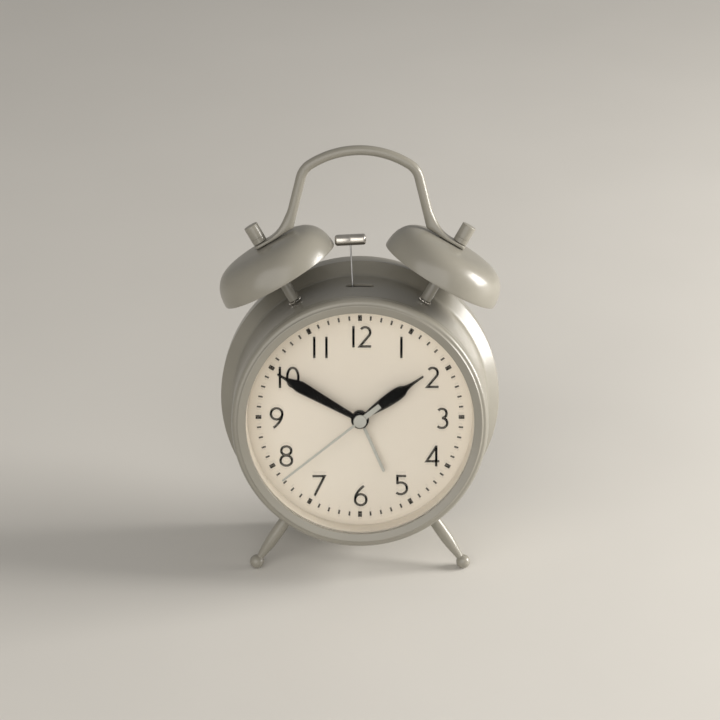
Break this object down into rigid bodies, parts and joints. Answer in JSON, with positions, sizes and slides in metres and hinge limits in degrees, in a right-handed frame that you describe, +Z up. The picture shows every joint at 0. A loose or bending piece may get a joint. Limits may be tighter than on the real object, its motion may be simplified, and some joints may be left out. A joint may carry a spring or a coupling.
{
  "type": "twin-bell alarm clock",
  "caption": "Round drum-case alarm clock with two bells, a hammer and a carrying handle, standing on two ball feet and the rear rim, with a quartz movement and electric striker.",
  "frame": {"origin": "bottom centre of the bounding box, on the surface the clock stands on", "axes": "+X to the right seen from the front, +Y to the back, +Z up; the dial leans back by 12.87 degrees"},
  "size_m": [0.1184, 0.0792, 0.1734],
  "materials": {
    "grey_paint": "satin",
    "cream_dial": "matte",
    "black_paint": "satin",
    "hand_grey": "satin",
    "clear_lens": "polished",
    "nickel": "polished",
    "steel": "satin",
    "copper_winding": "satin",
    "white_plastic": "matte",
    "black_plastic": "matte",
    "grey_plastic": "matte",
    "circuit_board": "matte",
    "magnet": "satin",
    "cell_sleeve": "gloss"
  },
  "bodies": {
    "case": {"case_shell": "grey_paint", "bezel": "grey_paint", "lens": "clear_lens", "dial_ring": "cream_dial", "dial": "cream_dial", "left_bell": "grey_paint", "right_bell": "grey_paint", "left_bell_post": "grey_paint", "right_bell_post": "grey_paint", "left_post_washer": "nickel", "right_post_washer": "nickel", "left_bell_nut": "grey_paint", "right_bell_nut": "grey_paint", "handle": "grey_paint", "left_leg": "grey_paint", "right_leg": "grey_paint", "movement_front_plate": "black_plastic", "movement_middle_plate": "white_plastic", "movement_housing": "black_plastic", "motor_stator": "steel", "motor_coil_core": "steel", "motor_coil": "copper_winding", "circuit_board": "circuit_board", "quartz_crystal": "nickel", "striker_bracket": "steel", "hammer_pivot_pin": "steel", "striker_core": "steel", "striker_coil": "copper_winding", "back_cover": "grey_plastic", "battery_cell_1": "cell_sleeve", "battery_cell_2": "cell_sleeve", "battery_link_contact": "nickel", "battery_positive_contact": "nickel", "battery_negative_contact": "nickel", "back_screw_1": "nickel", "back_screw_2": "nickel", "back_screw_3": "nickel"},
    "minute_train": {"centre_wheel": "white_plastic", "minute_hand": "black_paint"},
    "third_wheel": {"third_wheel": "white_plastic"},
    "seconds_train": {"seconds_wheel": "white_plastic", "seconds_hand": "hand_grey", "seconds_hand_cap": "hand_grey"},
    "middle_wheel": {"middle_wheel": "white_plastic"},
    "rotor": {"rotor": "magnet"},
    "works_wheel": {"works_wheel": "white_plastic"},
    "hour_train": {"hour_wheel": "white_plastic", "hour_hand": "black_paint"},
    "time_setter": {"time_set_shaft": "white_plastic", "time_set_knob": "black_plastic"},
    "alarm_setter": {"alarm_set_shaft": "white_plastic", "alarm_set_knob": "black_plastic"},
    "alarm_train": {"alarm_wheel": "white_plastic", "alarm_hand": "hand_grey"},
    "hammer": {"hammer_wire": "steel", "hammer_head": "nickel", "hammer_hub": "black_plastic", "striker_magnet": "magnet"},
    "alarm_switch": {"alarm_switch": "black_plastic"},
    "battery_door": {"battery_door": "grey_plastic"}
  },
  "joints": [
    {"name": "minute_spin", "type": "hinge", "parent": "case", "child": "minute_train", "pos_m": [0, -0.0061, 0.06492], "axis": [0, 0.9749, -0.2228], "continuous": true},
    {"name": "third_spin", "type": "hinge", "parent": "case", "child": "third_wheel", "pos_m": [-0.00425, -0.00774, 0.05775], "axis": [0, 0.9749, -0.2228], "continuous": true},
    {"name": "seconds_spin", "type": "hinge", "parent": "case", "child": "seconds_train", "pos_m": [0, -0.0061, 0.06492], "axis": [0, 0.9749, -0.2228], "continuous": true},
    {"name": "middle_spin", "type": "hinge", "parent": "case", "child": "middle_wheel", "pos_m": [0.00564, -0.00655, 0.06292], "axis": [0, 0.9749, -0.2228], "continuous": true},
    {"name": "rotor_spin", "type": "hinge", "parent": "case", "child": "rotor", "pos_m": [0.01049, -0.00718, 0.06019], "axis": [0, 0.9749, -0.2228], "continuous": true},
    {"name": "works_spin", "type": "hinge", "parent": "case", "child": "works_wheel", "pos_m": [0.00424, -0.00515, 0.06906], "axis": [0, 0.9749, -0.2228], "continuous": true},
    {"name": "hour_spin", "type": "hinge", "parent": "case", "child": "hour_train", "pos_m": [0, -0.0061, 0.06492], "axis": [0, 0.9749, -0.2228], "continuous": true},
    {"name": "time_set_spin", "type": "hinge", "parent": "case", "child": "time_setter", "pos_m": [0.01174, -0.0051, 0.06928], "axis": [0, 0.9749, -0.2228], "continuous": true},
    {"name": "alarm_set_spin", "type": "hinge", "parent": "case", "child": "alarm_setter", "pos_m": [-0.00883, -0.00505, 0.0695], "axis": [0, 0.9749, -0.2228], "continuous": true},
    {"name": "alarm_spin", "type": "hinge", "parent": "case", "child": "alarm_train", "pos_m": [0, -0.0061, 0.06492], "axis": [0, 0.9749, -0.2228], "continuous": true},
    {"name": "hammer_swing", "type": "hinge", "parent": "case", "child": "hammer", "pos_m": [-0.0021, 0.00304, 0.09771], "axis": [0, 0.9749, -0.2228], "range_deg": [-0.3, 12.1]},
    {"name": "alarm_switch_slide", "type": "slide", "parent": "case", "child": "alarm_switch", "axis": [1, 0, 0], "range_m": [0, 0.004]},
    {"name": "battery_door_hinge", "type": "hinge", "parent": "case", "child": "battery_door", "pos_m": [0, 0.01416, 0.01619], "axis": [-1, 0, 0], "range_deg": [0, 90]}
  ],
  "couplings": [
    {"joint": "rotor_spin", "follows": "seconds_spin", "ratio": 30},
    {"joint": "middle_spin", "follows": "seconds_spin", "ratio": -5},
    {"joint": "third_spin", "follows": "seconds_spin", "ratio": -0.13333},
    {"joint": "minute_spin", "follows": "seconds_spin", "ratio": 0.016667},
    {"joint": "works_spin", "follows": "seconds_spin", "ratio": -0.0055556},
    {"joint": "hour_spin", "follows": "seconds_spin", "ratio": 0.0013889},
    {"joint": "time_set_spin", "follows": "seconds_spin", "ratio": 0.0083333},
    {"joint": "alarm_spin", "follows": "alarm_set_spin", "ratio": -1}
  ]
}
